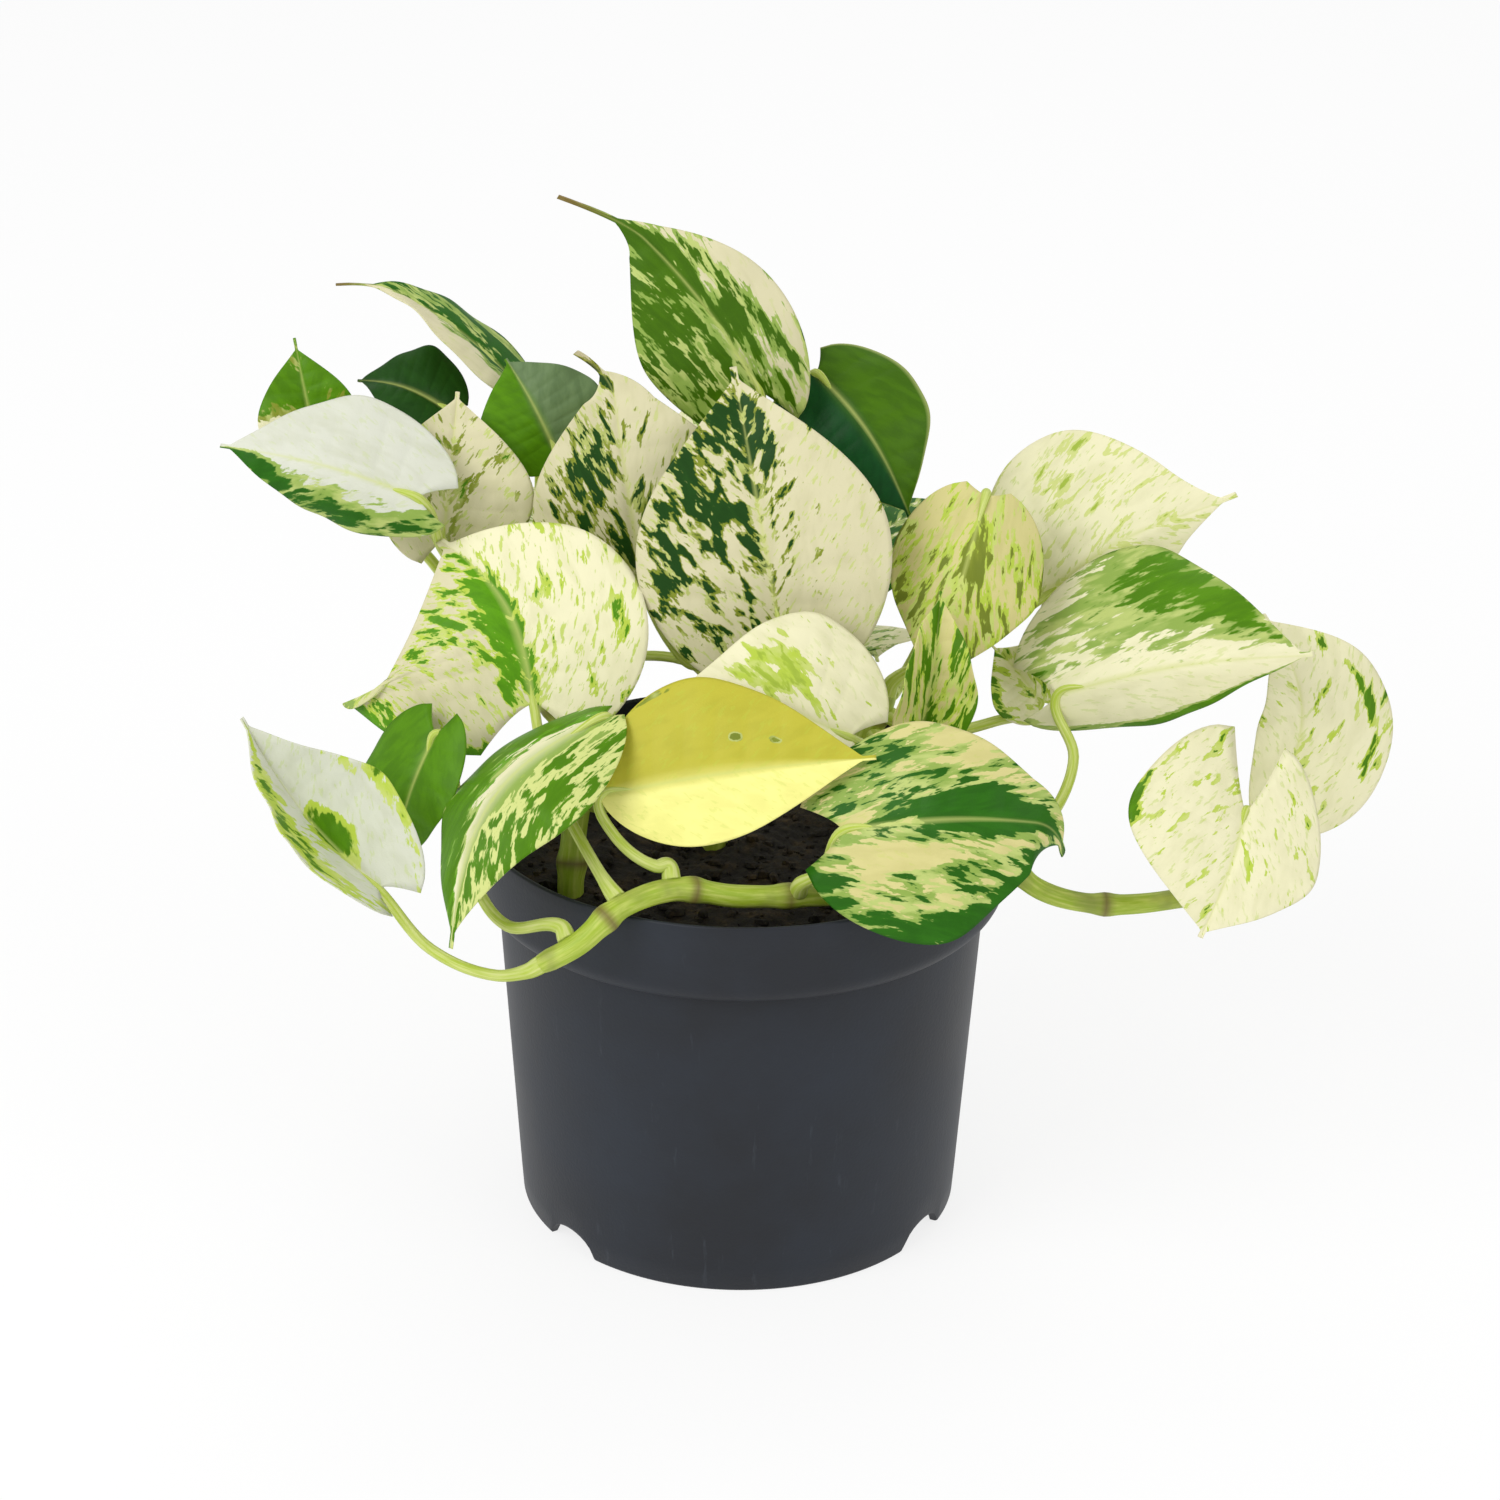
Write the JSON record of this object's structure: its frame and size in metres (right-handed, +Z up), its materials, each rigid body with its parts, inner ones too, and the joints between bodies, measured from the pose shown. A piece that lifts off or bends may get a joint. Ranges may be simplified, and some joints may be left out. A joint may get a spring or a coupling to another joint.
{
  "type": "potted plant",
  "caption": "Marbled pothos with heart-shaped cream and green leaves on short vines, rooted in soil in a round nursery pot.",
  "frame": {"origin": "under the middle of the plant's bounding box, on the surface the pot stands on; the pot's own axis is at x = -0.0154, y = -0.0119", "axes": "+Z up, +X towards the side where one long vine hangs out, -Y towards the front with the yellow leaf"},
  "size_m": [0.2571, 0.161, 0.2274],
  "materials": {
    "pot_plastic": "satin dark slate, faint moulding texture",
    "soil_earth": "rough dark potting soil with crumbs",
    "vine_green": "fresh yellow-green stem, satin",
    "leaf_marbled": "waxy leaf, cream and white marbled with greens",
    "leaf_green": "waxy dark green leaf with a few pale streaks",
    "leaf_yellow": "waxy fading yellow leaf"
  },
  "bodies": {
    "root": {"pot": "pot_plastic", "soil": "soil_earth", "vine_front": "vine_green", "vine_right": "vine_green", "vine_front_left": "vine_green", "vine_centre": "vine_green", "vine_centre_right": "vine_green", "vine_left": "vine_green", "vine_back": "vine_green", "leaf_top": "leaf_marbled", "leaf_top_right": "leaf_green", "leaf_centre": "leaf_marbled", "leaf_centre_left": "leaf_marbled", "leaf_front_left": "leaf_marbled", "leaf_under_left": "leaf_green", "leaf_drape": "leaf_marbled", "leaf_far_left_low": "leaf_marbled", "leaf_far_left": "leaf_marbled", "leaf_left_pale": "leaf_marbled", "leaf_left_green": "leaf_green", "leaf_left_spire": "leaf_green", "leaf_left_peak": "leaf_marbled", "leaf_left_dark": "leaf_green", "leaf_yellow": "leaf_yellow", "leaf_cream": "leaf_marbled", "leaf_front_right": "leaf_marbled", "leaf_right_upper": "leaf_marbled", "leaf_right_young": "leaf_marbled", "leaf_right_pale": "leaf_marbled", "leaf_right_low": "leaf_marbled", "leaf_right_small": "leaf_marbled", "leaf_right_heart": "leaf_marbled", "leaf_far_right": "leaf_marbled", "leaf_back_left": "leaf_marbled", "leaf_back_middle": "leaf_marbled", "leaf_back_right": "leaf_marbled", "leaf_back_high": "leaf_marbled", "leaf_back_low_left": "leaf_marbled", "leaf_back_low_right": "leaf_marbled"}
  },
  "joints": []
}
